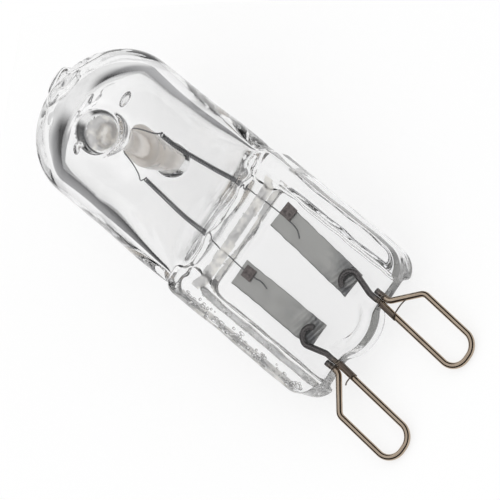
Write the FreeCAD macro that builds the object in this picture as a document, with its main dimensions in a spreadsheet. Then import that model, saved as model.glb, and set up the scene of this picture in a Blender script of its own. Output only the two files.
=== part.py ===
import FreeCAD, Part
import math
import os
import Sketcher

# A clear quartz capsule bulb with two looped wire pins.
# Own frame while it is built: Z runs up the bulb to the sealed tip, X to the right, and the front faces -Y.
# Z is zero where the two pins leave the flat glass seal.  All lengths are in millimetres.
sizes = {
    "bulb_radius": (6.85, "outside of the blown barrel"),
    "wall": (1.6, "quartz wall of the barrel"),
    "dome_start": (29.4, "height where the barrel turns into the dome"),
    "dome_rise": (5.5, "dome height above that"),
    "dome_knuckle": (4.3, "outer bend between the barrel and the dome's cap"),
    "crown_wall": (1.9, "quartz at the top of the dome"),
    "straight": (2.0, "length of barrel that the shoulder and the gas space start with"),
    "shoulder_top": (22.8, "height where the barrel starts to narrow"),
    "shoulder_tuck": (1.3, "half thickness of the shoulder where it ends above the panel"),
    "shoulder_inset": (0.4, "shoulder inside the seal's edge there, each side"),
    "seal_width": (14.4, "pinch seal, across"),
    "seal_depth": (4.2, "pinch seal over its ribs"),
    "seal_height": (17.3, "pinch seal, up to its square shoulders"),
    "seal_corner": (1.9, "rounding of the seal's lower corners"),
    "seal_top_corner": (1.2, "rounding of the seal's upper corners"),
    "web_depth": (2.2, "glass between the two pressed panels"),
    "panel_width": (10.6, "pressed panel, across"),
    "panel_top": (13.4, "height of the panel's upper edge, where the shoulder ends"),
    "lip_gap": (0.3, "between the ribbons and the lobe of glass that hangs between the pins"),
    "lip_drop": (0.9, "how far that lobe hangs below the pins' exits"),
    "slot_height": (16.2, "lower end of the gas space"),
    "slot_half_width": (5.3, "gas space there, half across"),
    "slot_half_depth": (0.5, "gas space there, half thickness"),
    "cavity_top": (22.2, "height where the gas space starts to narrow"),
    "nub_offset": (0.2, "exhaust tip, to the right of the axis"),
    "nub_root": (1.25, "radius of its root"),
    "nub_radius": (1.75, "radius of its button"),
    "nub_rise": (1.1, "its height above the dome"),
    "nub_throat": (0.25, "length of the root above the dome"),
    "nub_lip": (0.25, "height over which the root spreads into the button"),
    "nub_round": (0.4, "rounding of the button"),
    "post_offset": (0.25, "post, to the right of the axis"),
    "post_height": (26.5, "height of the post's axis"),
    "post_shank": (1.15, "radius of the post beside the wall"),
    "post_cap": (1.55, "radius of each dimple's blunt end"),
    "post_flare": (1.0, "flare where the post meets the wall"),
    "cap_length": (1.3, "length of the blunt end"),
    "cap_bevel": (0.3, "bevel of the blunt end"),
    "neck_radius": (0.95, "bridge that joins the two dimples"),
    "neck_half": (1.22, "half the bridge's length"),
    "neck_shift": (1.07, "bridge, forward of the axis"),
    "well_radius": (0.8, "bore of each dimple, open to the outside"),
    "well_floor": (0.8, "quartz at the bottom of the bore"),
    "rim_radius": (2.6, "mouth of the dimple at the outside"),
    "thread_radius": (0.055, "tungsten wire where it isn't wound"),
    "coil_radius": (0.225, "outside of the wound tungsten"),
    "left_coil_top": (24.5, "upper end of the left winding"),
    "right_coil_top": (25.3, "upper end of the right winding"),
    "coil_bottom": (16.6, "lower end of both windings"),
    "left_coil_reach": (1.75, "left winding's distance from the axis"),
    "right_coil_reach": (2.3, "right winding's distance from the axis at its top"),
    "left_coil_spread": (0.1, "how far the left winding spreads towards its foot"),
    "right_coil_spread": (0.9, "how far the right one spreads"),
    "coil_knee": (0.35, "share of the right winding above its slight bend"),
    "coil_bend": (4.4, "radius of that bend"),
    "left_tail_offset": (0.4, "left tail, to the right of its foil's middle"),
    "right_tail_offset": (0.45, "right tail, to the right of its foil's middle"),
    "left_tail_curl": (0.1, "how far the wire's end below the left tab turns to the left"),
    "right_tail_curl": (0.55, "how far the one below the right tab does"),
    "foil_width": (2.3, "molybdenum foil"),
    "foil_height": (9.2, "its length"),
    "foil_thickness": (0.04, "its thickness"),
    "foil_middle": (7.4, "height of its middle"),
    "left_foil_reach": (2.45, "left foil's distance from the axis"),
    "right_foil_reach": (2.95, "right foil's distance from the axis"),
    "right_foil_lean": (4.1, "its lean, in degrees"),
    "tab_thickness": (0.05, "molybdenum tab welded over the filament's tail"),
    "left_tab_width": (1.1, "left tab"),
    "left_tab_height": (1.0, "left tab"),
    "right_tab_width": (1.2, "right tab"),
    "right_tab_height": (1.2, "right tab"),
    "left_tab_offset": (0.4, "left tab, to the right of its foil's middle"),
    "right_tab_offset": (0.75, "right tab, to the right of its foil's middle"),
    "tab_edge": (0.35, "foil showing above the left tab"),
    "film": (0.02, "glass film between things that are welded or laid together"),
    "tail_length": (1.6, "wire showing below each tab"),
    "pin_pitch": (9.0, "distance between the two loops"),
    "pin_radius": (0.26, "pin wire"),
    "loop_width": (3.0, "loop, between its two wires' centres"),
    "loop_length": (8.8, "loop, from the seal to the far wire's centre"),
    "loop_round": (1.35, "bend at the end of the loop"),
    "loop_lean": (3.7, "lean of both loops, in degrees"),
    "loop_shoulder": (2.6, "drop over which the outer wire swings out"),
    "knee_reach": (3.6, "knee of the pin wire inside the seal, from the axis"),
    "bend": (0.7, "bends of the pin wire at the seal"),
    "hook_height": (4.6, "top of the pin wire's hook on the foil"),
    "hook_reach": (2.05, "end of the hook, from the axis"),
    "pin_tuck": (0.9, "length of the outer wire's end held in the seal"),
    "sleeve_wall": (0.07, "ribbon pressed round the inner wire"),
    "sleeve_length": (1.75, "its length below the seal"),
    "sleeve_turn": (215.0, "how far round the wire it goes, in degrees"),
    "left_whisker": (0.55, "cut end of the left ribbon"),
    "right_whisker": (1.4, "cut end of the right ribbon"),
    "whisker_width": (0.12, "its width"),
}

doc = FreeCAD.newDocument("capsule_bulb")
sheet = doc.addObject("Spreadsheet::Sheet", "Bulb")
for row, (alias, (value, note)) in enumerate(sizes.items(), start=1):
    sheet.set("A%d" % row, alias)
    sheet.set("B%d" % row, str(value))
    sheet.set("C%d" % row, note)
    sheet.setAlias("B%d" % row, alias)
doc.recompute()


def size(formula):
    """The value of a formula written with the sheet's names, such as Bulb.wall * 2."""
    return float(sheet.evalExpression(formula))


def bind(item, **formulas):
    """Bind properties to formulas; a double underscore stands for the dot of a sub-property."""
    for name, formula in formulas.items():
        item.setExpression(name.replace("__", "."), formula)
    return item


def new_sketch(body, name, role, **offsets):
    """A sketch on one of the body's own origin planes, moved along or in that plane by formulas."""
    plane = next(item for item in body.Origin.OriginFeatures if item.Role == role)
    sketch = body.newObject("Sketcher::SketchObject", name)
    sketch.AttachmentSupport = [(plane, "")]
    sketch.MapMode = "FlatFace"
    for axis, formula in offsets.items():
        sketch.setExpression("AttachmentOffset.Base." + axis, formula)
    return sketch


def arc_between(start, end, radius, turn):
    """The short arc between two points; turn is 1 when it runs counter-clockwise and -1 when clockwise."""
    chord = end - start
    half = chord.Length / 2
    rise = math.sqrt(max(radius ** 2 - half ** 2, 0.0))
    across = FreeCAD.Vector(-chord.y, chord.x, 0) / chord.Length
    centre = (start + end) / 2 + across * rise * turn
    first, last = (start, end) if turn > 0 else (end, start)
    angles = [math.atan2(point.y - centre.y, point.x - centre.x) for point in (first, last)]
    circle = Part.Circle(centre, FreeCAD.Vector(0, 0, 1), radius)
    return Part.ArcOfCircle(circle, angles[0], angles[1])


def draw_outline(sketch, corners):
    """Close an outline whose corners are bound to formulas.

    A corner is (x, y) before a straight side, or (x, y, radius, turn) before an arc.
    """
    places = [FreeCAD.Vector(size(corner[0]), size(corner[1]), 0) for corner in corners]
    for index, corner in enumerate(corners):
        start, end = places[index], places[(index + 1) % len(places)]
        if len(corner) == 2:
            sketch.addGeometry(Part.LineSegment(start, end))
        else:
            sketch.addGeometry(arc_between(start, end, size(corner[2]), corner[3]))
    starts = [2 if len(corner) == 4 and corner[3] < 0 else 1 for corner in corners]
    for index, corner in enumerate(corners):
        after = (index + 1) % len(corners)
        sketch.addConstraint(
            Sketcher.Constraint("Coincident", index, 3 - starts[index], after, starts[after]))
        if len(corner) == 4:
            number = sketch.addConstraint(Sketcher.Constraint("Radius", index, size(corner[2])))
            sketch.setExpression("Constraints[%d]" % number, corner[2])
        for kind, axis, formula, value in (("DistanceX", -2, corner[0], places[index].x),
                                           ("DistanceY", -1, corner[1], places[index].y)):
            if formula == "0":
                sketch.addConstraint(Sketcher.Constraint("PointOnObject", index, starts[index], axis))
            else:
                number = sketch.addConstraint(Sketcher.Constraint(kind, -1, 1, index, starts[index], value))
                sketch.setExpression("Constraints[%d]" % number, formula)
    return sketch


def turned_body(name, role, corners, **offsets):
    """A body turned about the upright axis of its sketch."""
    body = doc.addObject("PartDesign::Body", name)
    sketch = draw_outline(new_sketch(body, name + "_profile", role, **offsets), corners)
    turning = body.newObject("PartDesign::Revolution", name + "_turning")
    turning.Profile = sketch
    turning.ReferenceAxis = (sketch, ["V_Axis"])
    turning.Angle = 360
    return body


def fused(name, items):
    joined = doc.addObject("Part::MultiFuse", name)
    joined.Shapes = items
    return joined


def cut(name, base, tool):
    result = doc.addObject("Part::Cut", name)
    result.Base = base
    result.Tool = tool
    return result


# The barrel and dome, for the outside and for the gas space

def capsule(name, radius, rise, knuckle, bottom):
    """A barrel with a dome of two arcs: a knuckle at its rim and a flatter cap on the axis."""
    inset = "(%s - %s)" % (radius, knuckle)
    cap = "((%s^2 + %s^2 - %s^2) / (2 * (%s - %s)))" % (inset, rise, knuckle, rise, knuckle)
    stretch = "%s / (%s - %s)" % (cap, cap, knuckle)
    seam = "Bulb.dome_start + (%s - %s) * (%s - 1)" % (cap, rise, stretch)
    return turned_body(name, "XZ_Plane", [
        ("0", bottom),
        (radius, bottom),
        (radius, "Bulb.dome_start", knuckle, 1),
        ("%s * %s" % (inset, stretch), seam, cap, 1),
        ("0", "Bulb.dome_start + " + rise),
    ])


def narrowing(name, top, bottom, upper, lower):
    """A smooth loft that eases from one level ellipse to another; each is (half width, half depth)."""
    steps = 4
    rings = [(top + " + Bulb.straight",) + upper]
    for step in range(steps + 1):
        height = "%s - (%s - %s) * %g" % (top, top, bottom, step / steps)
        fall = "(1 - cos(%g deg)) / 2" % (180 * step / steps)
        rings.append((height,) + tuple("%s - (%s - %s) * %s" % (before, before, after, fall)
                                       for before, after in zip(upper, lower)))
    sections = []
    for number, (height, half_width, half_depth) in enumerate(rings):
        ring = doc.addObject("Part::Ellipse", "%s_ring_%d" % (name, number))
        bind(ring, MajorRadius=half_width, MinorRadius=half_depth, Placement__Base__z=height)
        sections.append(ring)
    loft = doc.addObject("Part::Loft", name)
    loft.Sections = sections
    loft.Solid = True
    return loft


inner_radius = "(Bulb.bulb_radius - Bulb.wall)"
shoulder_foot = ("(Bulb.seal_width / 2 - Bulb.shoulder_inset)", "Bulb.shoulder_tuck")
shoulder = narrowing("shoulder", "Bulb.shoulder_top", "Bulb.panel_top",
                     ("Bulb.bulb_radius", "Bulb.bulb_radius"), shoulder_foot)
cavity_foot = narrowing("cavity_foot", "Bulb.cavity_top", "Bulb.slot_height",
                        (inner_radius, inner_radius), ("Bulb.slot_half_width", "Bulb.slot_half_depth"))
outer = capsule("outer", "Bulb.bulb_radius", "Bulb.dome_rise", "Bulb.dome_knuckle",
                "Bulb.shoulder_top + Bulb.straight")
cavity = capsule("cavity", inner_radius, "(Bulb.dome_rise - Bulb.crown_wall)",
                 "(Bulb.dome_knuckle - Bulb.wall)", "Bulb.cavity_top + Bulb.straight")

# The flat pinch seal: a slab with two side ribs, pressed panels front and back, and a lobe between the pins.
# The panels are cut to the slab's top, and the shoulder fills them down to their upper edge.

seal = doc.addObject("PartDesign::Body", "seal")
half = "Bulb.seal_width / 2"
lip = "((Bulb.pin_pitch - Bulb.loop_width) / 2 - Bulb.pin_radius - Bulb.sleeve_wall - Bulb.lip_gap)"
lip_radius = "(%s^2 + Bulb.lip_drop^2) / (2 * Bulb.lip_drop)" % lip
slab_outline = draw_outline(new_sketch(seal, "slab_outline", "XZ_Plane"), [
    ("-" + half, "Bulb.seal_corner", "Bulb.seal_corner", 1),
    ("-%s + Bulb.seal_corner" % half, "0"),
    ("-" + lip, "0", lip_radius, 1),
    (lip, "0"),
    (half + " - Bulb.seal_corner", "0", "Bulb.seal_corner", 1),
    (half, "Bulb.seal_corner"),
    (half, "Bulb.seal_height - Bulb.seal_top_corner", "Bulb.seal_top_corner", 1),
    (half + " - Bulb.seal_top_corner", "Bulb.seal_height"),
    ("-%s + Bulb.seal_top_corner" % half, "Bulb.seal_height", "Bulb.seal_top_corner", 1),
    ("-" + half, "Bulb.seal_height - Bulb.seal_top_corner"),
])
slab = seal.newObject("PartDesign::Pad", "slab")
slab.Profile = slab_outline
slab.SideType = "Symmetric"
bind(slab, Length="Bulb.seal_depth")
for side, sign in (("front", 1), ("back", -1)):
    panel = "Bulb.panel_width / 2"
    recess = new_sketch(seal, side + "_panel", "XZ_Plane", z="%d * Bulb.web_depth / 2" % sign)
    draw_outline(recess, [
        ("-" + panel, "-2 * Bulb.lip_drop"),
        (panel, "-2 * Bulb.lip_drop"),
        (panel, "Bulb.seal_height + Bulb.lip_drop"),
        ("-" + panel, "Bulb.seal_height + Bulb.lip_drop"),
    ])
    pressing = seal.newObject("PartDesign::Pocket", side + "_pressing")
    pressing.Profile = recess
    pressing.Reversed = sign > 0
    bind(pressing, Length="Bulb.seal_depth")

# The tip left where the exhaust tube was melted off

apex = "Bulb.dome_start + Bulb.dome_rise"
nub = turned_body("nub", "XZ_Plane", [
    ("0", apex + " - Bulb.crown_wall / 2"),
    ("Bulb.nub_root", apex + " - Bulb.crown_wall / 2"),
    ("Bulb.nub_root", apex + " + Bulb.nub_throat"),
    ("Bulb.nub_radius", apex + " + Bulb.nub_throat + Bulb.nub_lip"),
    ("Bulb.nub_radius", apex + " + Bulb.nub_rise - Bulb.nub_round", "Bulb.nub_round", 1),
    ("Bulb.nub_radius - Bulb.nub_round", apex + " + Bulb.nub_rise"),
    ("0", apex + " + Bulb.nub_rise"),
], x="Bulb.nub_offset")

# The post that carries the filament: two dimples pushed in from front and back until their ends join

neck_back = "(Bulb.neck_half - Bulb.neck_shift)"
neck_front = "(Bulb.neck_half + Bulb.neck_shift)"
wall_middle = "(Bulb.bulb_radius - Bulb.wall / 2)"
foot = "Bulb.post_shank + Bulb.post_flare"


def dimple_side(neck, sign):
    """One half of the post's outline, from the wall to the neck, as (radius, distance, radius, turn)."""
    return [
        ("0", "%d * %s" % (sign, wall_middle)),
        (foot, "%d * %s" % (sign, wall_middle)),
        (foot, "%d * %s" % (sign, inner_radius)),
        ("Bulb.post_shank", "%d * (%s - Bulb.post_flare)" % (sign, inner_radius)),
        ("Bulb.post_cap", "%d * (%s + Bulb.cap_length)" % (sign, neck)),
        ("Bulb.post_cap", "%d * (%s + Bulb.cap_bevel)" % (sign, neck)),
        ("Bulb.post_cap - Bulb.cap_bevel", "%d * %s" % (sign, neck)),
        ("Bulb.neck_radius", "%d * %s" % (sign, neck)),
    ]


def reverse_outline(corners):
    """The same outline walked the other way."""
    points = [corner[:2] for corner in corners][::-1]
    sides = [corner[2:] for corner in corners][::-1]
    sides = sides[1:] + sides[:1]
    turned = [(side[0], -side[1]) if side else () for side in sides]
    return [point + side for point, side in zip(points, turned)]


post = turned_body("post", "XY_Plane",
                   dimple_side(neck_back, 1)
                   + reverse_outline(dimple_side(neck_front, -1)),
                   x="Bulb.post_offset", z="Bulb.post_height")

throat = "(%s - Bulb.post_flare)" % inner_radius
throat_flare = "(Bulb.post_shank + Bulb.post_flare - Bulb.well_radius)"
wells = []
for side, sign, neck in (("back", 1, neck_back), ("front", -1, neck_front)):
    wells.append(turned_body(side + "_well", "XY_Plane", [
        ("0", "%d * (%s + Bulb.well_floor)" % (sign, neck)),
        ("Bulb.well_radius", "%d * (%s + Bulb.well_floor)" % (sign, neck)),
        ("Bulb.well_radius", "%d * %s" % (sign, throat), throat_flare, -sign),
        (foot, "%d * (%s + %s)" % (sign, throat, throat_flare)),
        ("Bulb.rim_radius", "%d * (Bulb.bulb_radius + Bulb.wall)" % sign),
        ("0", "%d * (Bulb.bulb_radius + Bulb.wall)" % sign),
    ], x="Bulb.post_offset", z="Bulb.post_height"))

outer_glass = fused("outer_glass", [outer, shoulder, seal, nub])
shell = cut("shell", outer_glass, fused("gas_space", [cavity, cavity_foot]))
glass_blank = cut("glass_blank", fused("shell_and_post", [shell, post]), fused("wells", wells))

# Wires: a round section carried along straight runs joined by bends, in one upright plane

def bent_route(name, points, depth):
    """A route through (x, z, bend) points in the plane y = depth; each bend is the radius at that corner."""
    corners = [FreeCAD.Vector(x, depth, z) for x, z, bend in points]
    edges = []
    start = corners[0]
    for index in range(1, len(points) - 1):
        corner, bend = corners[index], points[index][2]
        back = (corners[index - 1] - corner).normalize()
        ahead = (corners[index + 1] - corner).normalize()
        half_angle = back.getAngle(ahead) / 2
        first = corner + back * (bend / math.tan(half_angle))
        last = corner + ahead * (bend / math.tan(half_angle))
        middle = corner + (back + ahead).normalize() * (bend / math.sin(half_angle) - bend)
        edges.append(Part.LineSegment(start, first).toShape())
        edges.append(Part.Arc(first, middle, last).toShape())
        start = last
    edges.append(Part.LineSegment(start, corners[-1]).toShape())
    route = doc.addObject("Part::Feature", name)
    route.Shape = Part.Wire(edges)
    return route


def wire_along(name, route, radius):
    """A round wire along a route, with its radius bound to a formula."""
    section = doc.addObject("Part::Circle", name + "_section")
    bind(section, Radius=radius)
    first = route.Shape.Edges[0]
    direction = first.tangentAt(first.FirstParameter)
    section.Placement = FreeCAD.Placement(
        first.firstVertex().Point, FreeCAD.Rotation(FreeCAD.Vector(0, 0, 1), direction))
    wire = doc.addObject("Part::Sweep", name)
    wire.Sections = [section]
    wire.Spine = (route, ["Edge%d" % (number + 1) for number in range(len(route.Shape.Edges))])
    wire.Solid = True
    return wire


# The filament: one tungsten wire, wound along its two legs and left plain over the neck of the post

foil_face = size("Bulb.foil_thickness / 2 + Bulb.film")
thread_radius = size("Bulb.thread_radius")
thread_depth = -(foil_face + thread_radius)
soft_bend = 4 * thread_radius
post_x = size("Bulb.post_offset")
post_z = size("Bulb.post_height")
neck_ride = size("Bulb.neck_radius + Bulb.film") + thread_radius
neck_bend = size("Bulb.neck_radius")
coil_bottom = size("Bulb.coil_bottom")
left_x = -size("Bulb.left_coil_reach")
right_x = size("Bulb.right_coil_reach")
knee_drop = size("Bulb.coil_knee * (Bulb.right_coil_top - Bulb.coil_bottom)")
right_foot = right_x + size("Bulb.right_coil_spread")
knee_x = right_x + (right_foot - right_x) * size("Bulb.coil_knee") / 2
left_top = size("Bulb.left_coil_top")
right_top = size("Bulb.right_coil_top")
left_leg = [
    (left_x, coil_bottom, soft_bend),
    (left_x + size("Bulb.left_coil_spread"), left_top, soft_bend),
]
right_leg = [
    (right_x, right_top, soft_bend),
    (knee_x, right_top - knee_drop, size("Bulb.coil_bend")),
    (right_foot, coil_bottom, soft_bend),
]
foil_top = size("Bulb.foil_middle + Bulb.foil_height / 2")
left_tab_low = foil_top - size("Bulb.tab_edge + Bulb.left_tab_height")
right_tab_low = foil_top - size("Bulb.right_tab_height")
tail = size("Bulb.tail_length")
left_tail = size("Bulb.left_tail_offset - Bulb.left_foil_reach")
right_tail = size("Bulb.right_foil_reach + Bulb.right_tail_offset")
thread_points = [
    (left_tail - size("Bulb.left_tail_curl"), left_tab_low - tail, 0),
    (left_tail, left_tab_low, soft_bend),
    (left_tail, foil_top + tail, soft_bend),
] + left_leg + [
    (post_x - neck_ride, post_z - neck_ride / 2, soft_bend),
    (post_x - neck_ride, post_z + neck_ride, neck_bend),
    (post_x + neck_ride, post_z + neck_ride, neck_bend),
    (post_x + neck_ride, post_z - soft_bend, soft_bend),
] + right_leg + [
    (right_tail, foil_top + tail, soft_bend),
    (right_tail, right_tab_low, soft_bend),
    (right_tail - size("Bulb.right_tail_curl"), right_tab_low - tail, 0),
]
thread = wire_along("thread", bent_route("thread_route", thread_points, thread_depth), "Bulb.thread_radius")
windings = [
    wire_along(side + "_winding", bent_route(side + "_winding_route", leg, thread_depth), "Bulb.coil_radius")
    for side, leg in (("left", left_leg), ("right", right_leg))]
filament = fused("filament", [thread] + windings)


# The foils that seal the current's way through the glass, and the tabs welded over the filament's tails

def plate(label, width, height, thickness, depth, x, z, lean="0"):
    """A thin upright plate facing the front, centred at x and z, its middle at a depth behind the axis."""
    body = doc.addObject("PartDesign::Body", label)
    sketch = new_sketch(body, label + "_outline", "XZ_Plane", x=x, y=z, z="-(%s)" % depth)
    sketch.setExpression("AttachmentOffset.Rotation.Angle", lean)
    half_width = "(%s) / 2" % width
    half_height = "(%s) / 2" % height
    draw_outline(sketch, [("-" + half_width, "-" + half_height), (half_width, "-" + half_height),
                          (half_width, half_height), ("-" + half_width, half_height)])
    pad = body.newObject("PartDesign::Pad", label + "_sheet")
    pad.Profile = sketch
    pad.SideType = "Symmetric"
    bind(pad, Length=thickness)
    return body


foil_sizes = ("Bulb.foil_width", "Bulb.foil_height", "Bulb.foil_thickness", "0")
foils = [plate("foil_left", *foil_sizes, "-Bulb.left_foil_reach", "Bulb.foil_middle"),
         plate("foil_right", *foil_sizes, "Bulb.right_foil_reach", "Bulb.foil_middle",
               "-Bulb.right_foil_lean")]
tab_depth = ("-(Bulb.foil_thickness / 2 + Bulb.film + 2 * Bulb.thread_radius + Bulb.film"
             " + Bulb.tab_thickness / 2)")
foil_upper = "(Bulb.foil_middle + Bulb.foil_height / 2)"
tabs = [plate("weld_tab_left", "Bulb.left_tab_width", "Bulb.left_tab_height", "Bulb.tab_thickness", tab_depth,
              "Bulb.left_tab_offset - Bulb.left_foil_reach",
              foil_upper + " - Bulb.tab_edge - Bulb.left_tab_height / 2"),
        plate("weld_tab_right", "Bulb.right_tab_width", "Bulb.right_tab_height", "Bulb.tab_thickness",
              tab_depth, "Bulb.right_foil_reach + Bulb.right_tab_offset",
              foil_upper + " - Bulb.right_tab_height / 2", "-Bulb.right_foil_lean")]

# The two pins: each a wire hooked onto its foil, out through the seal, round a loop and back into the seal

pin_radius = size("Bulb.pin_radius")
pin_depth = -(foil_face + pin_radius)
lean = math.radians(size("Bulb.loop_lean"))
inner_reach = size("(Bulb.pin_pitch - Bulb.loop_width) / 2")
outer_reach = size("(Bulb.pin_pitch + Bulb.loop_width) / 2")
bend = size("Bulb.bend")
loop_end = -size("Bulb.loop_length")
loop_round = size("Bulb.loop_round")
shoulder_drop = size("Bulb.loop_shoulder")
beside = inner_reach + 2 * pin_radius + size("Bulb.film")
hook_top = size("Bulb.hook_height")
hook_end = size("Bulb.hook_reach")
knee_reach = size("Bulb.knee_reach")
pin_tuck = size("Bulb.pin_tuck")
lean_from = pin_tuck + 0.5 * bend


def leaned(side, reach, z):
    """A point of the right-hand pin, given upright, mirrored by side and leaned below its lower knee."""
    return side * reach + math.tan(lean) * min(z - lean_from, 0.0), z


def pin_route(name, side):
    points = [
        (hook_end, hook_top - 1.5 * bend, 0),
        (hook_end + 0.7 * bend, hook_top + 0.4 * bend, bend),
        (knee_reach, hook_top - 1.7 * bend, bend),
        (inner_reach, lean_from, bend),
        (inner_reach, loop_end, loop_round),
        (outer_reach, loop_end, loop_round),
        (outer_reach, -shoulder_drop, bend),
        (beside, -0.6 * bend, bend),
        (beside, pin_tuck, 0),
    ]
    return bent_route(name, [leaned(side, x, z) + (corner,) for x, z, corner in points], pin_depth)


pins = [wire_along("pin_" + hand, pin_route("route_" + hand, side), "Bulb.pin_radius")
        for hand, side in (("left", -1), ("right", 1))]


# The ribbon pressed round each inner wire where it leaves the seal, with its cut end standing out

def ribbon_sleeve(hand, side):
    label = "lead_sleeve_" + hand
    half_turn = size("Bulb.sleeve_turn") / 2
    facing = 0 if side < 0 else 180
    foot_x, foot_z = leaned(side, inner_reach, -size("Bulb.sleeve_length + Bulb.film"))
    upright = FreeCAD.Rotation(FreeCAD.Vector(0, 1, 0), math.degrees(lean))
    around = FreeCAD.Rotation(FreeCAD.Vector(0, 0, 1), facing - half_turn)
    foot_place = FreeCAD.Placement(FreeCAD.Vector(foot_x, pin_depth, foot_z), upright * around)
    tube = doc.addObject("Part::Cylinder", label + "_tube")
    bind(tube, Radius="Bulb.pin_radius + Bulb.film + Bulb.sleeve_wall", Height="Bulb.sleeve_length",
         Angle="Bulb.sleeve_turn")
    bore = doc.addObject("Part::Cylinder", label + "_bore")
    bind(bore, Radius="Bulb.pin_radius + Bulb.film", Height="Bulb.sleeve_length")
    tube.Placement = foot_place
    bore.Placement = foot_place
    whisker = doc.addObject("Part::Box", label + "_whisker")
    bind(whisker, Length="Bulb.pin_radius + Bulb.%s_whisker" % hand, Width="Bulb.sleeve_wall * 0.6",
         Height="Bulb.whisker_width")
    front = pin_depth - size("Bulb.pin_radius + Bulb.film + Bulb.sleeve_wall * 0.8")
    start = foot_x - (size("Bulb.pin_radius + Bulb.left_whisker") if side < 0 else 0)
    whisker.Placement.Base = FreeCAD.Vector(start, front, foot_z + math.tan(lean) * 2 * pin_radius)
    return fused(label, [cut(label + "_ribbon", tube, bore), whisker])


sleeves = [ribbon_sleeve(hand, side) for hand, side in (("left", -1), ("right", 1))]

# At rest the lamp lies front upwards on its shoulder and on the ends of its loops, tilted by what that takes

doc.recompute()
facet = 0.03
glass_points = glass_blank.Shape.tessellate(facet)[0]
pin_points = [point for pin in pins for point in pin.Shape.tessellate(facet)[0]]


def lowest(points, tilt):
    return min(point.z * math.sin(tilt) - point.y * math.cos(tilt) for point in points)


tilt = 0.0
lever = size("Bulb.shoulder_top + Bulb.loop_length")
for attempt in range(12):
    tilt += (lowest(pin_points, tilt) - lowest(glass_points, tilt)) / lever
on_its_back = FreeCAD.Rotation(
    FreeCAD.Vector(0, 1, 0), FreeCAD.Vector(0, 0, -1), FreeCAD.Vector(-1, 0, 0), "XYZ")
lying = FreeCAD.Rotation(FreeCAD.Vector(0, 1, 0), math.degrees(tilt)) * on_its_back
turned = [lying.multVec(point) for point in glass_points + pin_points]
rest = FreeCAD.Placement(FreeCAD.Vector(
    -(min(point.x for point in turned) + max(point.x for point in turned)) / 2,
    -(min(point.y for point in turned) + max(point.y for point in turned)) / 2,
    -min(point.z for point in turned)), lying)

sealed_in = [filament] + foils + tabs + pins
for item in sealed_in + sleeves + [glass_blank]:
    item.Placement = rest
embedded = doc.addObject("Part::Compound", "embedded")
embedded.Links = sealed_in
envelope = cut("envelope", glass_blank, embedded)
doc.recompute()
nodes = [envelope] + sealed_in + sleeves

for item in doc.Objects:
    if {"Invalid", "Error"} & set(item.State):
        raise SystemExit("%s failed: %s" % (item.Label, item.State))
os.makedirs("parts", exist_ok=True)
for node in nodes:
    if node.Shape.isNull() or not node.Shape.isValid() or len(node.Shape.Solids) != 1:
        raise SystemExit(node.Label + " is not one valid solid")
    print(node.Label, round(node.Shape.Volume, 4))
    node.Shape.exportStep("parts/%s.step" % node.Label)
print("tilt at rest", round(math.degrees(tilt), 3))
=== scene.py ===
import math

import bpy
from mathutils import Matrix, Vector
import numpy as np


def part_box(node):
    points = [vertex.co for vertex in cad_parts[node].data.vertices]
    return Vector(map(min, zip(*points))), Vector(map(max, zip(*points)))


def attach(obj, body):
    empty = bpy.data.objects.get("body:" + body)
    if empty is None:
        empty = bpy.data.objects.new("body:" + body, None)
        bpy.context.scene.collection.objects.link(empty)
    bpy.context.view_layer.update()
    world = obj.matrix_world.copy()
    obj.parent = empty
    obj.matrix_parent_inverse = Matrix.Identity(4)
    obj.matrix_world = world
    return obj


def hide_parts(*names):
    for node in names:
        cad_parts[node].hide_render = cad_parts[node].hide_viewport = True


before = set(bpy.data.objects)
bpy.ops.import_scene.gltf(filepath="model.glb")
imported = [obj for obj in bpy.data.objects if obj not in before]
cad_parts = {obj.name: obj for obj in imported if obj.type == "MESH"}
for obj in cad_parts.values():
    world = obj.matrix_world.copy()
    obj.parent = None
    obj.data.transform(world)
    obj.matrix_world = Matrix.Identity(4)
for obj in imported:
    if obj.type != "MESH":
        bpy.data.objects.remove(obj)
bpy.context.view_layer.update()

perMetre = 1000  # millimetres

# The lamp is described upright, in millimetres: Z runs up to the sealed tip and is zero where the pins leave
# the seal, X is to the right, and the front faces -Y. It lies on its back, so each point is turned and placed.
# The left foil is a plain strip, so its box gives both the tilt and the place.
foilStrip = {"length": 9.2, "thickness": 0.04, "middle": (-2.45, 0.0, 7.4)}


# Rows of numbers, each divided by its length
def unit(rows):
    return rows / np.linalg.norm(rows, axis=-1, keepdims=True)


# The strip's box is length * cosine + thickness * sine long and length * sine + thickness * cosine high; these
# two are solved for the sine and cosine of the tilt
def lyingPose():
    low, high = (np.array(corner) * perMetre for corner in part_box("foil_left"))
    boxLength, boxHeight = (high - low)[[0, 2]]
    length, thin = foilStrip["length"], foilStrip["thickness"]
    sine = (length * boxHeight - thin * boxLength) / (length ** 2 - thin ** 2)
    cosine = (length * boxLength - thin * boxHeight) / (length ** 2 - thin ** 2)
    turn = unit(np.array([[0, -sine, -cosine], [1, 0, 0], [0, -cosine, sine]]))
    return turn, (low + high) / 2 - turn @ np.array(foilStrip["middle"])


# A point turned, then moved, and in metres
def toRest(points):
    return (points @ turnToRest.T + restOrigin) / perMetre


turnToRest, restOrigin = lyingPose()
print("lamp lies", round(math.degrees(math.asin(turnToRest[2, 2])), 2), "degrees off level")


# An sRGB hex colour as linear red, green, blue and alpha
def linearColour(text):
    parts = [int(text[i:i + 2], 16) / 255 for i in (0, 2, 4)]
    return [c / 12.92 if c < 0.04045 else ((c + 0.055) / 1.055) ** 2.4 for c in parts] + [1.0]


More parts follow.
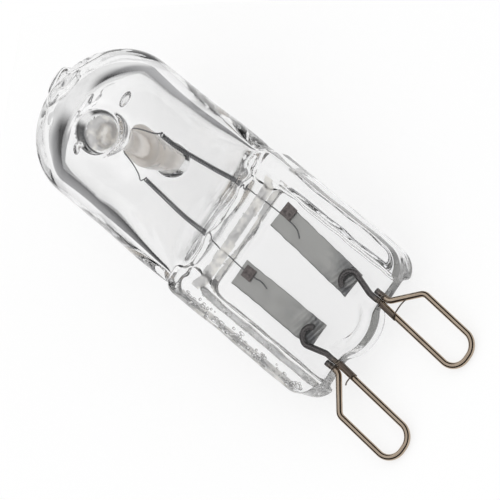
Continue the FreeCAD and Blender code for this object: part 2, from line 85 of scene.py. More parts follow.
# Settings go to the node's properties or sockets. Each link gives a socket, by name or number, the output of
# another node: the one given, or the node's first.
def addNode(tree, kind, settings=None, links=None):
    node = tree.nodes.new(kind)
    for name, value in (settings or {}).items():
        if isinstance(name, int) or name in node.inputs:
            node.inputs[name].default_value = value
        else:
            setattr(node, name, value)
    for name, source in (links or {}).items():
        tree.links.new(source.outputs[0] if hasattr(source, "outputs") else source, node.inputs[name])
    return node


def newMaterial(name):
    material = bpy.data.materials.new(name)
    material.use_nodes = True
    material.node_tree.nodes.clear()
    return material, material.node_tree


# A smooth mesh from points in the upright frame, laid at rest, riding the body and standing for CAD nodes
def newPiece(name, points, faces, material, node):
    mesh = bpy.data.meshes.new(name)
    mesh.from_pydata(toRest(points).tolist(), [], faces)
    mesh.polygons.foreach_set("use_smooth", np.ones(len(mesh.polygons), bool))
    mesh.materials.append(material)
    mesh.update()
    piece = bpy.data.objects.new(name, mesh)
    bpy.context.scene.collection.objects.link(piece)
    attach(piece, "root")
    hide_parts(node)
    print(name, len(points), "points", len(faces), "faces")
    return piece


# Goes from knot to knot, each (place, value), on 10 t^3 - 15 t^4 + 6 t^5, which is level at both ends
def eased(value, knots):
    result = knots[0][1] + 0 * value
    for (start, before), (end, after) in zip(knots, knots[1:]):
        share = np.clip((value - start) / (end - start), 0, 1)
        result = result + (after - before) * share ** 3 * (10 - 15 * share + 6 * share ** 2)
    return result


# The smaller of two distances, rounded by a parabola where they differ by less than the blend
def smoothMin(a, b, blend):
    share = np.clip(0.5 + 0.5 * (b - a) / blend, 0, 1)
    return b + (a - b) * share - blend * share * (1 - share)


# The larger of two distances, rounded alike
def smoothMax(a, b, blend):
    return -smoothMin(-a, -b, blend)


# Smooth noise of about the given height: a sum of sine waves in random directions, from 0.7 to 1.5 lengths long
def ripple(x, y, z, height, length, seed, waves=7):
    random = np.random.default_rng(seed)
    total = 0
    for wave in range(waves):
        way = random.normal(size=3)
        way *= 2 * math.pi / (length * random.uniform(0.7, 1.5) * np.linalg.norm(way))
        total = total + np.sin(x * way[0] + y * way[1] + z * way[2] + random.uniform(0, 6.28))
    return height * total / math.sqrt(waves * 1.5)


# The quartz envelope is one closed skin on the zero of a distance in closed form, negative inside the glass.
# Knots are (place, value), a square is an oval's exponent, and waves are (height, length, seed).
glassSizes = {
    # Barrel, dome and gas space
    "barrelRadius": 6.84, "wall": 1.6, "domeStart": 29.4, "domeRise": 5.5, "gasDomeStart": 28.6, "crown": 1.9,
    "craterReach": 2.2, "craterDepth": 0.5, "craterKnots": [(30.5, 0.0), (32.0, 1.0)],
    "craterWave": (1, 1.7, 22),
    # Shoulder, outside and inside
    "widthKnots": [(13.0, 6.5), (17.8, 7.0), (25.0, 6.84)],
    "depthKnots": [(13.3, 1.12), (24.0, 6.84)],
    "squareKnots": [(13.0, 2.8), (24.5, 2.0)],
    "cavityWidthKnots": [(14.5, 6.05), (28.4, 5.24)],
    "cavityWallKnots": [(14.5, 0.95), (20.0, 1.6)],
    "cavitySquareKnots": [(13.0, 2.6), (24.5, 2.0)],
    "cavityFoot": 15.8, "footRound": 1.5, "tailPlaces": (-1.75, 3.2), "tailRise": 0.35, "tailReach": 0.7,
    # Ragged edge above the pressed panels
    "ridgeHeight": 13.95, "ridgeRise": 0.072, "ridgeReach": 0.36, "ridgeEnds": [(4.8, 1.0), (6.0, 0.0)],
    "ridgeBend": (0.15, 3.0, 23), "ridgeWave": (1, 0.9, 24),
    # Seal: outline, lobe between the pins, ribs and panels
    "sealHalfWidth": 7.12, "sealHeight": 16.4, "lowerCorner": 1.9, "upperCorner": 1.2,
    "sealInset": 0.05, "sealWave": (0.05, 3.5, 11), "lobeHalfWidth": 2.37, "lobeDrop": 0.9,
    "ribHalfDepth": 2.1, "webHalfDepth": 1.1, "webWave": (0.02, 4.0, 13),
    "panelHalfWidth": 5.3, "panelTop": 13.4, "panelBottom": -30.0, "panelCorner": 0.9,
    "panelWave": (0.06, 2.6, 12), "panelEdge": [(-0.25, 0.0), (0.3, 1.0)],
    "crossbarDrop": 1.5, "crossbarKnots": [(-1.2, 0.25), (0.3, 1.0)],
    "rimShare": 0.45, "rimInward": [(-1.5, 0.0), (-0.5, 1.0)], "rimAcross": [(1.6, 1.0), (2.8, 0.0)],
    "rimUpward": [(1.5, 1.0), (3.0, 0.0)],
    # Sealed-off exhaust tip
    "tipShift": 0.2, "tipRoot": 1.1, "tipRadius": 1.66, "tipRise": 1.19, "tipHalf": 0.66, "tipSquare": 2.4,
    "tipMargin": 0.1, "rootShare": 0.7, "tipWave": (0.24, 1.9, 21, 4),
    # Post with its back well and front cone
    "postShift": 0.25, "postHeight": 26.5, "shank": 1.15, "cap": 1.55, "capLength": 1.3,
    "capKnots": (-0.1, 0.3), "neckRadius": 0.85, "neckBack": 0.15, "neckFront": 2.3,
    "frontShank": 1.2, "frontTaper": 1.5,
    "wellRadius": 0.8, "wellFloor": 0.75, "wellMouth": 1.5, "flareLead": 0.6, "flareEnd": 1.9,
    "frontFloor": 3.5, "frontBore": 1.4, "frontMouth": 1.95, "coneEnd": 1.3,
    # Widths over which one form flows into the next
    "blends": {"lobe": 0.4, "sealEdge": 0.55, "bodyFoot": 0.3, "bodyToSeal": 0.6, "tip": 0.3, "tipToDome": 0.35,
               "gasEdge": 0.2, "postEnd": 0.2, "postFlare": 1.3, "wellFloor": 0.7, "wellLip": 0.25},
}


# Distance to an upright rectangle with rounded corners
def roundedBox(x, z, halfWidth, low, high, corner):
    across = np.abs(x) - halfWidth + corner
    upward = np.abs(z - (low + high) / 2) - (high - low) / 2 + corner
    outside = np.hypot(np.maximum(across, 0), np.maximum(upward, 0))
    return outside + np.minimum(np.maximum(across, upward), 0) - corner


# Distance along the ray from the middle to the oval |x / w|^n + |y / d|^n = 1
def ovalDistance(x, y, halfWidth, halfDepth, square):
    offAxis = 1e-4
    x = np.abs(x) + offAxis
    reach = ((x / halfWidth) ** square + (np.abs(y) / halfDepth) ** square) ** (1 / square)
    return np.hypot(x, y) * (reach - 1) / reach


# Distance along the ray from the dome's middle to a flattened ball
def domeDistance(x, y, z, radius, start, rise):
    offMiddle = 1e-4
    reach = np.maximum(np.sqrt((x * x + y * y) / radius ** 2 + ((z - start) / rise) ** 2), offMiddle)
    return np.sqrt(x * x + y * y + (z - start) ** 2) * (reach - 1) / reach


# The pinch seal is an outline with a lobe below, a circle through the lobe's width and drop. Its half depth
# goes from the web's to the rib's across the panel's edge, with a low crossbar on top and a rim at the lobe.
def sealDistance(x, y, z):
    g, blend = glassSizes, glassSizes["blends"]
    corner = np.where(z > g["sealHeight"] / 2, g["upperCorner"], g["lowerCorner"])
    outline = roundedBox(x, z, g["sealHalfWidth"], 0, g["sealHeight"], corner)
    outline = outline + g["sealInset"] + ripple(x, y, z, *g["sealWave"])
    lobeRadius = (g["lobeHalfWidth"] ** 2 + g["lobeDrop"] ** 2) / (2 * g["lobeDrop"])
    lobe = np.hypot(x, z - lobeRadius + g["lobeDrop"]) - lobeRadius
    outline = smoothMin(outline, lobe, blend["lobe"])
    panel = roundedBox(x, z, g["panelHalfWidth"], g["panelBottom"], g["panelTop"], g["panelCorner"])
    rib = eased(panel + ripple(x, y, z, *g["panelWave"]), g["panelEdge"])
    crossbar = eased(np.abs(x) - g["panelHalfWidth"], g["crossbarKnots"])
    rib = rib * np.where(z > g["panelTop"] - g["crossbarDrop"], crossbar, 1.0)
    rim = eased(outline, g["rimInward"]) * eased(np.abs(x), g["rimAcross"]) * eased(z, g["rimUpward"])
    deeper = (g["ribHalfDepth"] - g["webHalfDepth"]) * np.maximum(rib, g["rimShare"] * rim)
    halfDepth = g["webHalfDepth"] + deeper + ripple(x, y, z, *g["webWave"])
    return smoothMax(np.abs(y) - halfDepth, outline, blend["sealEdge"])


# How far a point is from the post's axis, how far past the neck's nearer end, and the same for the wall
def postPlace(x, y, z):
    g = glassSizes
    inner = g["barrelRadius"] - g["wall"]
    away = np.hypot(x - g["postShift"], z - g["postHeight"])
    past = np.where(y > 0, y - g["neckBack"], -y - g["neckFront"])
    return away, past, np.where(y > 0, inner - g["neckBack"], inner - g["neckFront"])


# The two wells: at the back a long bore that flares by the square through the wall, in front a short cone
def wellDistance(x, y, z):
    g = glassSizes
    away, past, wallReach = postPlace(x, y, z)
    flare = np.clip((past - wallReach) / g["wall"] + g["flareLead"], 0, g["flareEnd"]) / (1 + g["flareLead"])
    backBore = g["wellRadius"] + (g["wellMouth"] - g["wellRadius"]) * flare ** 2
    cone = np.clip((past - g["frontFloor"]) / (wallReach + g["wall"] - g["frontFloor"]), 0, g["coneEnd"])
    frontBore = g["frontBore"] + (g["frontMouth"] - g["frontBore"]) * cone
    bore = np.where(y > 0, backBore, frontBore)
    floor = np.where(y > 0, g["wellFloor"], g["frontFloor"])
    return smoothMax(away - bore, floor - past, g["blends"]["wellFloor"])


# The exhaust tip: a round root and a flattened button on it, both lumpy from the flame
def tipDistance(x, y, z):
    g, blend = glassSizes, glassSizes["blends"]
    apex = g["domeStart"] + g["domeRise"]
    away = np.hypot(x - g["tipShift"], y)
    root = smoothMax(away - g["tipRoot"], np.abs(z - apex) - g["tipRise"] * g["rootShare"], blend["tip"])
    middle = apex + g["tipRise"] - g["tipHalf"] - g["tipMargin"]
    button = ovalDistance(away, z - middle, g["tipRadius"], g["tipHalf"], g["tipSquare"])
    return smoothMin(root, button, blend["tip"]) + ripple(x, y, z, *g["tipWave"])


# The gas space: ovals up to a dome, a rounded foot with a cusp at each tail, and a crater under the tip
def gasDistance(x, y, z):
    g = glassSizes
    halfDepth = np.maximum(eased(z, g["depthKnots"]), g["ribHalfDepth"]) - eased(z, g["cavityWallKnots"])
    gas = ovalDistance(x, y, eased(z, g["cavityWidthKnots"]), halfDepth, eased(z, g["cavitySquareKnots"]))
    gasRise = g["domeStart"] + g["domeRise"] - g["crown"] - g["gasDomeStart"]
    dome = domeDistance(x, y, z, g["barrelRadius"] - g["wall"], g["gasDomeStart"], gasRise)
    gas = np.where(z > g["gasDomeStart"], dome, gas)
    cusps = sum(np.exp(-((x - place) / g["tailReach"]) ** 2) for place in g["tailPlaces"])
    gas = smoothMax(gas, g["cavityFoot"] + g["tailRise"] * cusps - z, g["footRound"])
    crater = np.exp(-((x - g["tipShift"]) ** 2 + y ** 2) / g["craterReach"] ** 2) * eased(z, g["craterKnots"])
    return gas + g["craterDepth"] * crater * (1 + ripple(x, y, z, *g["craterWave"]))


# The post: turned about a front to back axis, waisted to a neck, wider towards the wall at each end
def postDistance(x, y, z):
    g = glassSizes
    away, past, wallReach = postPlace(x, y, z)
    beyondCap = np.clip((past - g["capLength"]) / (wallReach - g["capLength"]), 0, 1)
    back = eased(past, list(zip(g["capKnots"], (g["neckRadius"], g["cap"]))))
    back = back + (g["shank"] - g["cap"]) * beyondCap
    front = eased(past, [(0.0, g["neckRadius"]), (g["frontTaper"], g["frontShank"])])
    wallMiddle = g["barrelRadius"] - g["wall"] / 2
    return smoothMax(away - np.where(y > 0, back, front), np.abs(y) - wallMiddle, g["blends"]["postEnd"])


# All of the glass: body, seal and tip joined, a ridge raised above the panels, the gas space taken out, the
# post added and its wells taken out
def glassDistance(x, y, z):
    g, blend = glassSizes, glassSizes["blends"]
    body = ovalDistance(x, y, eased(z, g["widthKnots"]), eased(z, g["depthKnots"]), eased(z, g["squareKnots"]))
    dome = domeDistance(x, y, z, g["barrelRadius"], g["domeStart"], g["domeRise"])
    body = np.where(z > g["domeStart"], dome, body)
    body = smoothMax(body, g["depthKnots"][0][0] - z, blend["bodyFoot"])
    outside = smoothMin(body, sealDistance(x, y, z), blend["bodyToSeal"])
    upward = (z - g["ridgeHeight"] - ripple(x, 0, 0, *g["ridgeBend"])) / g["ridgeReach"]
    ridge = np.exp(-upward ** 2) * eased(np.abs(x), g["ridgeEnds"])
    outside = outside - g["ridgeRise"] * ridge * (1 + ripple(x, y, z, *g["ridgeWave"]))
    outside = smoothMin(outside, tipDistance(x, y, z), blend["tipToDome"])
    glass = smoothMax(outside, -gasDistance(x, y, z), blend["gasEdge"])
    glass = smoothMin(glass, postDistance(x, y, z), blend["postFlare"])
    return smoothMax(glass, -wellDistance(x, y, z), blend["wellLip"])


# The net's cells, whose rising steps are (height, step), and how often it is settled
gridSizes = {
    "halfWidth": 7.5, "halfDepth": 7.2, "step": 0.2, "bottom": -1.4, "top": 36.6, "loops": 3,
    "risingSteps": [(0.8, 0.18), (2.5, 0.26), (11.8, 0.26), (13.0, 0.16), (17.2, 0.18), (18.5, 0.26),
                    (33.0, 0.26), (34.0, 0.18)],
}


# Grid lines along X, Y and Z: even across, and closer along Z where the pressed edges and the tip are
def gridLines():
    g = gridSizes
    across = np.arange(-g["halfWidth"], g["halfWidth"] + 0.01, g["step"])
    through = np.arange(-g["halfDepth"], g["halfDepth"] + 0.01, g["step"])
    upward = [g["bottom"]]
    while upward[-1] < g["top"]:
        upward.append(upward[-1] + float(eased(np.array(upward[-1]), g["risingSteps"])))
    return across, through, np.array(upward)


# One point in each grid cell that the surface crosses, at the mean of the crossings on its edges, and one quad
# round each crossed edge, facing out
def netSurface(field, lines):
    inside = field < 0
    rings, places = [], []
    for axis in range(3):
        low = tuple(slice(None, -1) if a == axis else slice(None) for a in range(3))
        high = tuple(slice(1, None) if a == axis else slice(None) for a in range(3))
        start = np.argwhere(inside[low] != inside[high])
        end = start.copy()
        end[:, axis] += 1
        first, second = field[tuple(start.T)], field[tuple(end.T)]
        place = np.stack([lines[a][start[:, a]] for a in range(3)], 1)
        place[:, axis] += first / (first - second) * (lines[axis][end[:, axis]] - lines[axis][start[:, axis]])
        u, v = (axis + 1) % 3, (axis + 2) % 3
        ring = []
        for stepU, stepV in ((0, 0), (-1, 0), (-1, -1), (0, -1)):
            cell = start.copy()
            cell[:, u] += stepU
            cell[:, v] += stepV
            ring.append(np.ravel_multi_index(cell.T, field.shape))
        ring = np.stack(ring, 1)
        backward = first > 0
        ring[backward] = ring[backward][:, ::-1]
        rings.append(ring)
        places.append(np.repeat(place[:, None], 4, 1))
    cells, quads = np.unique(np.concatenate(rings), return_inverse=True)
    quads = quads.reshape(-1, 4)
    places = np.concatenate(places)
    count = np.bincount(quads.ravel())
    points = np.stack([np.bincount(quads.ravel(), places[..., a].ravel()) / count for a in range(3)], 1)
    return points, quads


# The distance's gradient, by a central difference along each axis
def slopeOf(points, step=0.01):
    columns = []
    for axis in range(3):
        shift = np.zeros(3)
        shift[axis] = step
        columns.append((glassDistance(*(points + shift).T) - glassDistance(*(points - shift).T)) / (2 * step))
    return np.stack(columns, 1)


# Moves points along the slope onto the glass surface: minus distance times slope over slope squared
def settle(points, flattest=0.05, longest=0.08):
    slope = slopeOf(points)
    shift = -glassDistance(*points.T)[:, None] * slope / np.maximum((slope ** 2).sum(1), flattest)[:, None]
    return points + np.clip(shift, -longest, longest)


# Moves points halfway to the mean of their neighbours in the net
def relax(points, quads):
    sides = np.concatenate([quads[:, [a, (a + 1) % 4]] for a in range(4)])
    count = np.bincount(sides.ravel())
    middle = np.stack([(np.bincount(sides[:, 0], points[sides[:, 1], a], len(points))
                        + np.bincount(sides[:, 1], points[sides[:, 0], a], len(points))) / count
                       for a in range(3)], 1)
    return points + 0.5 * (middle - points)


# Gas in the quartz: two seeds in the barrel's wall, each (degrees round from the front, radius, height, half
# width, half height, turn), and a scatter of bubbles in the seal's left rib
bubbleSizes = {
    "rows": 7, "turns": 10, "seedHalfDepth": 0.22,
    "seeds": [(-18.5, 6.2, 27.6, 0.52, 0.34, 20), (33.3, 6.1, 26.9, 0.82, 0.36, 22)],
    "count": 80, "seed": 51, "radius": (0.06, 0.17), "stretch": (0.8, 2.2),
    "across": (-6.9, -6.3), "through": 1.6, "upward": (0.9, 14.6),
}


# A ball of radius 1, rings of points between two poles, whose faces point into it, at the gas that it holds
def bubbleBall():
    rows, turns = bubbleSizes["rows"], bubbleSizes["turns"]
    down = np.linspace(0, math.pi, rows)[1:-1, None]
    around = np.linspace(0, 2 * math.pi, turns, endpoint=False)
    rings = np.stack(np.broadcast_arrays(np.sin(down) * np.cos(around), np.sin(down) * np.sin(around),
                                         np.cos(down)), -1).reshape(-1, 3)
    here = np.arange(len(rings)).reshape(-1, turns)
    after = np.roll(here, -1, axis=1)
    quads = np.stack([here[:-1], after[:-1], after[1:], here[1:]], -1).reshape(-1, 4)
    top, bottom = np.full(turns, len(rings)), np.full(turns, len(rings) + 1)
    triangles = np.stack([[top, after[0], here[0]], [bottom, here[-1], after[-1]]])
    triangles = triangles.transpose(0, 2, 1).reshape(-1, 3)
    return np.concatenate([rings, [[0, 0, 1.0], [0, 0, -1.0]]]), quads, triangles


# The points of all bubbles and their normals, which point inwards, one array for each bubble
def bubbleClouds(ball):
    b = bubbleSizes
    clouds, normals = [], []
    for bearing, reach, height, wide, tall, turn in b["seeds"]:
        angle, turned = math.radians(bearing), math.radians(turn)
        tangent = np.array([math.cos(angle), math.sin(angle), 0])
        inward = np.array([-math.sin(angle), math.cos(angle), 0])
        upward = np.array([0, 0, 1.0])
        axes = np.stack([math.cos(turned) * tangent + math.sin(turned) * upward, inward,
                         math.cos(turned) * upward - math.sin(turned) * tangent])
        sizes = np.array([wide, b["seedHalfDepth"], tall])
        clouds.append(ball * sizes @ axes - inward * reach + [0, 0, height])
        normals.append(-(ball / sizes) @ axes)
    random = np.random.default_rng(b["seed"])
    for bubble in range(b["count"]):
        sizes = random.uniform(*b["radius"]) * np.array([1, 1, random.uniform(*b["stretch"])])
        middle = [random.uniform(*b["across"]), random.uniform(-1, 1) * b["through"],
                  random.uniform(*b["upward"])]
        clouds.append(ball * sizes + middle)
        normals.append(-(ball / sizes))
    return clouds, normals


# Where the quartz isn't clear
finishSizes = {
    "wellSkin": 0.06, "boreEnd": 5.6, "neckMargin": 0.15, "neckMiddle": -0.6, "neckHalf": 1.2,
    "dimpleMargin": 0.3, "sideDepth": 0.4, "sideTop": 16.0,
    "bandHeight": 13.7, "bandHalf": 0.45, "bandHalfWidth": 5.4,
}


# 1 on the tooled back well and neck, 2 on the front cone's floor, the left side and the band above the panels
def finishAt(x, y, z):
    f, g = finishSizes, glassSizes
    onWell = np.abs(wellDistance(x, y, z)) < f["wellSkin"]
    away, past, wallReach = postPlace(x, y, z)
    bore = onWell & (y > 0) & (y < f["boreEnd"])
    neck = (away < g["cap"] + f["neckMargin"]) & (np.abs(y - f["neckMiddle"]) < f["neckHalf"])
    dimple = onWell & (y < 0) & (past < g["frontFloor"] + f["dimpleMargin"])
    side = (x < f["sideDepth"] - g["sealHalfWidth"]) & (z < f["sideTop"])
    band = (np.abs(z - f["bandHeight"]) < f["bandHalf"]) & (np.abs(x) < f["bandHalfWidth"])
    return np.where(dimple | side | band, 2, np.where(bore | neck, 1, 0))


# The net on the glass's zero is evened out and settled in turn, and takes the distance's slope as its normals
def makeGlass(clear, tooled, pressed):
    lines = gridLines()
    points, quads = netSurface(glassDistance(*np.meshgrid(*lines, indexing="ij", sparse=True)), lines)
    for loop in range(gridSizes["loops"]):
        points = relax(settle(points), quads)
    for loop in range(gridSizes["loops"]):
        points = settle(points)
    ball, ballQuads, ballTriangles = bubbleBall()
    clouds, cloudNormals = bubbleClouds(ball)
    firsts = (len(points) + len(ball) * np.arange(len(clouds)))[:, None, None]
    faces = quads.tolist() + (ballQuads + firsts).reshape(-1, 4).tolist()
    faces += (ballTriangles + firsts).reshape(-1, 3).tolist()
    piece = newPiece("quartz_envelope", np.concatenate([points] + clouds), faces, clear,
                     "envelope")
    piece.data.materials.append(tooled)
    piece.data.materials.append(pressed)
    finish = np.zeros(len(faces), np.int32)
    finish[:len(quads)] = finishAt(*points[quads].mean(axis=1).T)
    piece.data.polygons.foreach_set("material_index", finish)
    normals = unit(np.concatenate([slopeOf(points)] + cloudNormals) @ turnToRest.T)
    piece.data.normals_split_custom_set_from_vertices(normals.tolist())


quartzIor = 1.458


# Fused quartz, clear and fire polished: it bends light by its index and casts next to no shadow
def quartzGlass():
    material, tree = newMaterial("fused quartz")
    shader = addNode(tree, "ShaderNodeBsdfPrincipled",
                     {"Base Color": linearColour("ffffff"), "Roughness": 0.0, "IOR": quartzIor,
                      "Transmission Weight": 1.0})
    clear = addNode(tree, "ShaderNodeBsdfTransparent", {"Color": linearColour("fafafb")})
    path = addNode(tree, "ShaderNodeLightPath")
    both = addNode(tree, "ShaderNodeMixShader", None, {0: path.outputs["Is Shadow Ray"], 1: shader, 2: clear})
    addNode(tree, "ShaderNodeOutputMaterial", None, {"Surface": both})
    return material


# Quartz roughened by the hot tools that pushed in the wells: milky, in bands 2.1 mm apart along the bore. Its
# grain of 1.1 mm is coarser than the real one, so that it shows. A texture's scale is grains in a metre.
def tooledQuartz():
    material, tree = newMaterial("tooled quartz")
    place = addNode(tree, "ShaderNodeTexCoord").outputs["Object"]
    bands = addNode(tree, "ShaderNodeTexWave",
                    {"wave_type": "BANDS", "bands_direction": "Z", "Scale": 0.15 * perMetre, "Distortion": 4.0,
                     "Detail": 2.0}, {"Vector": place})
    colour = addNode(tree, "ShaderNodeValToRGB", None, {"Fac": bands.outputs["Fac"]})
    colour.color_ramp.elements[0].color = linearColour("efe6db")
    colour.color_ramp.elements[1].color = linearColour("fffaf3")
    grain = addNode(tree, "ShaderNodeTexNoise", {"Scale": 0.9 * perMetre, "Detail": 2.0}, {"Vector": place})
    bump = addNode(tree, "ShaderNodeBump", {"Strength": 0.35, "Distance": 0.2 / perMetre}, {"Height": grain})
    shader = addNode(tree, "ShaderNodeBsdfPrincipled",
                     {"Roughness": 0.4, "IOR": quartzIor, "Transmission Weight": 0.55},
                     {"Base Color": colour, "Normal": bump})
    addNode(tree, "ShaderNodeOutputMaterial", None, {"Surface": shader})
    return material


# Quartz where a jaw or a punch met it: grey and pale in smears of 0.9 mm, with a grain of 0.7 mm, coarser than
# the real one, so that it shows
def pressedQuartz():
    material, tree = newMaterial("pressed quartz")
    place = addNode(tree, "ShaderNodeTexCoord").outputs["Object"]
    grain = addNode(tree, "ShaderNodeTexNoise", {"Scale": 1.5 * perMetre, "Detail": 3.0}, {"Vector": place})
    bump = addNode(tree, "ShaderNodeBump", {"Strength": 0.6, "Distance": 0.15 / perMetre}, {"Height": grain})
    smear = addNode(tree, "ShaderNodeTexNoise", {"Scale": 1.1 * perMetre, "Detail": 2.0}, {"Vector": place})
    share = addNode(tree, "ShaderNodeMapRange", {"From Min": 0.42, "From Max": 0.62}, {"Value": smear})
    colour = addNode(tree, "ShaderNodeMixRGB",
                     {"Color1": linearColour("b4b3b2"), "Color2": linearColour("e2dfd8")}, {"Fac": share})
    shader = addNode(tree, "ShaderNodeBsdfPrincipled",
                     {"Roughness": 0.3, "IOR": quartzIor, "Transmission Weight": 0.65},
                     {"Base Color": colour, "Normal": bump})
    addNode(tree, "ShaderNodeOutputMaterial", None, {"Surface": shader})
    return material


makeGlass(quartzGlass(), tooledQuartz(), pressedQuartz())


# Wires and strips are rings of points carried along a path

# Straight runs joined by arcs; each corner is (x, z, bend). At a share s of an arc's turn t the point is
# its centre + (first sin((1 - s) t) + last sin(s t)) / sin t.
def roundedPath(corners, spacing):
    places = np.array([corner[:2] for corner in corners], float)
    chain = [places[:1]]
    for index in range(1, len(corners) - 1):
        bend = corners[index][2]
        back, ahead = unit(places[[index - 1, index + 1]] - places[index])
        halfAngle = math.acos(np.clip(back @ ahead, -1, 1)) / 2
        centre = places[index] + unit(back + ahead) * bend / math.sin(halfAngle)
        first, last = (places[index] + way * bend / math.tan(halfAngle) - centre for way in (back, ahead))
        turn = math.pi - 2 * halfAngle
        share = np.linspace(0, 1, max(3, int(turn * bend / spacing) + 1))[:, None]
        arc = first * np.sin((1 - share) * turn) + last * np.sin(share * turn)
        chain.append(centre + arc / math.sin(turn))
    chain.append(places[-1:])
    path = []
    for before, after in zip(chain, chain[1:]):
        length = np.linalg.norm(after[0] - before[-1])
        share = np.linspace(0, 1, max(2, int(length / spacing) + 1))[1:-1, None]
        path += [before, before[-1] + (after[0] - before[-1]) * share]
    return np.concatenate(path + chain[-1:])


# An evenly spaced curve: between b and c, with neighbours a and d, it is the cubic
# (2 b + (c - a) s + (2 a - 5 b + 4 c - d) s^2 + (3 b - a - 3 c + d) s^3) / 2
def curveThrough(points, spacing, steps=24):
    points = np.asarray(points, float)
    padded = np.concatenate([2 * points[:1] - points[1:2], points, 2 * points[-1:] - points[-2:-1]])
    share = np.linspace(0, 1, steps, endpoint=False)[None, :, None]
    before, start, end, after = (padded[i:len(padded) - 3 + i, None] for i in range(4))
    curve = 0.5 * (2 * start + (end - before) * share + (2 * before - 5 * start + 4 * end - after) * share ** 2
                   + (3 * start - before - 3 * end + after) * share ** 3)
    curve = np.concatenate([curve.reshape(-1, points.shape[1]), points[-1:]])
    length = np.concatenate([[0], np.cumsum(np.linalg.norm(np.diff(curve, axis=0), axis=1))])
    even = np.linspace(0, length[-1], max(3, int(length[-1] / spacing) + 1))
    return np.stack([np.interp(even, length, column) for column in curve.T], 1)


# A path of (x, z) points in the plane at a depth
def lift(flat, depth):
    return np.insert(flat, 1, depth, axis=1)


# Two directions square to a path at each point, the first one square to Y too
def pathFrame(path):
    along = unit(np.gradient(path, axis=0))
    wide = unit(np.cross(along, [0, 1, 0]))
    return wide, np.cross(along, wide)


# Circles round the points of a path: radius times (cosine times wide + sine times thick)
def ringsRound(path, radius, sides, wide, thick):
    angle = np.linspace(0, 2 * math.pi, sides, endpoint=False)[None, :, None]
    return path[:, None] + radius * (np.cos(angle) * wide[:, None] + np.sin(angle) * thick[:, None])


# A round wire along a path
def wireRings(path, radius, sides):
    return ringsRound(path, radius, sides, *pathFrame(path))


# Quads between neighbouring rings and a face over each end, numbered from first
def skin(rings, first):
    stations, sides = rings.shape[:2]
    number = np.arange(stations * sides).reshape(stations, sides) + first
    after = np.roll(number, -1, axis=1)
    quads = np.stack([number[:-1], number[1:], after[1:], after[:-1]], -1).reshape(-1, 4)
    return quads.tolist() + [number[0].tolist(), number[-1][::-1].tolist()]


# One piece from several closed skins, each a set of rings
def joinSkins(name, ringSets, material, node):
    points, faces = [], []
    for rings in ringSets:
        faces += skin(rings, sum(len(part) for part in points))
        points.append(rings.reshape(-1, 3))
    newPiece(name, np.concatenate(points), faces, material, node)


# From 0 to 1 between two heights in millimetres, by the place's dot product with the upright lamp's Z
def heightShare(tree, place, low, high):
    upward = turnToRest[:, 2]
    foot = float(toRest(np.zeros(3)) @ upward)
    height = addNode(tree, "ShaderNodeVectorMath", {"operation": "DOT_PRODUCT", 1: upward}, {0: place})
    return addNode(tree, "ShaderNodeMapRange",
                   {"From Min": foot + low / perMetre, "From Max": foot + high / perMetre},
                   {"Value": height.outputs["Value"]})


# Metal of one colour, with a shine that its roughness spreads
def plainMetal(name, base, roughness):
    material, tree = newMaterial(name)
    shader = addNode(tree, "ShaderNodeBsdfPrincipled",
                     {"Base Color": linearColour(base), "Metallic": 1.0, "Roughness": roughness})
    addNode(tree, "ShaderNodeOutputMaterial", None, {"Surface": shader})
    return material


# The pins, each one wire: a hook on the foil, a leg that leans below leanFrom, a loop, and an end tucked into
# the seal beside the leg. The hook's corners are (x, z, bend), given like all else for the right pin.
pinSizes = {
    "radius": 0.26, "sides": 28, "spacing": 0.12, "depth": -0.3, "bend": 0.7,
    "hook": [(2.05, 3.55, 0), (2.54, 4.88, 0.7), (3.6, 3.41, 0.7)],
    "inner": 3.0, "outer": 6.0, "end": -8.8, "round": 1.35, "lean": 3.7, "leanFrom": 1.25,
    "shoulder": -2.6, "crossing": -0.42, "tuck": 0.9, "gap": 0.02,
}
pinSides = {"left": -1, "right": 1}


# How far the lean carries a wire across at a height: its tangent times the height below leanFrom
def leanShift(z):
    return math.tan(math.radians(pinSizes["lean"])) * np.minimum(z - pinSizes["leanFrom"], 0)


# The wire's corners, mirrored for the left pin, leaned and rounded
def pinPath(side):
    p = pinSizes
    beside = p["inner"] + 2 * p["radius"] + p["gap"]
    corners = p["hook"] + [(p["inner"], p["leanFrom"], p["bend"]), (p["inner"], p["end"], p["round"]),
                           (p["outer"], p["end"], p["round"]), (p["outer"], p["shoulder"], p["bend"]),
                           (beside, p["crossing"], p["bend"]), (beside, p["tuck"], 0)]
    leaned = [(side * x + leanShift(z), z, bend) for x, z, bend in corners]
    return lift(roundedPath(leaned, p["spacing"]), p["depth"])


def makePins(material):
    for hand, side in pinSides.items():
        rings = wireRings(pinPath(side), pinSizes["radius"], pinSizes["sides"])
        joinSkins("looped_pin_" + hand, [rings], material, "pin_" + hand)


# Drawn molybdenum wire: smooth and bright, browned in patches of 1.4 mm by the heat of pressing, with painted
# shade that turns it dark grey where the glass holds it
def pinWire():
    material, tree = newMaterial("pin wire")
    place = addNode(tree, "ShaderNodeTexCoord").outputs["Object"]
    stain = addNode(tree, "ShaderNodeTexNoise", {"Scale": 0.7 * perMetre, "Detail": 2.0}, {"Vector": place})
    browned = addNode(tree, "ShaderNodeMixRGB",
                      {"Color1": linearColour("a39280"), "Color2": linearColour("cbbba8")}, {"Fac": stain})
    # Painted shade: the wire goes dark grey from just below the seal's face up into the glass
    colour = addNode(tree, "ShaderNodeMixRGB", {"Color2": linearColour("615d5d")},
                     {"Fac": heightShare(tree, place, -0.3, 0.8), "Color1": browned})
    shader = addNode(tree, "ShaderNodeBsdfPrincipled", {"Metallic": 1.0, "Roughness": 0.14},
                     {"Base Color": colour})
    addNode(tree, "ShaderNodeOutputMaterial", None, {"Surface": shader})
    return material


makePins(pinWire())


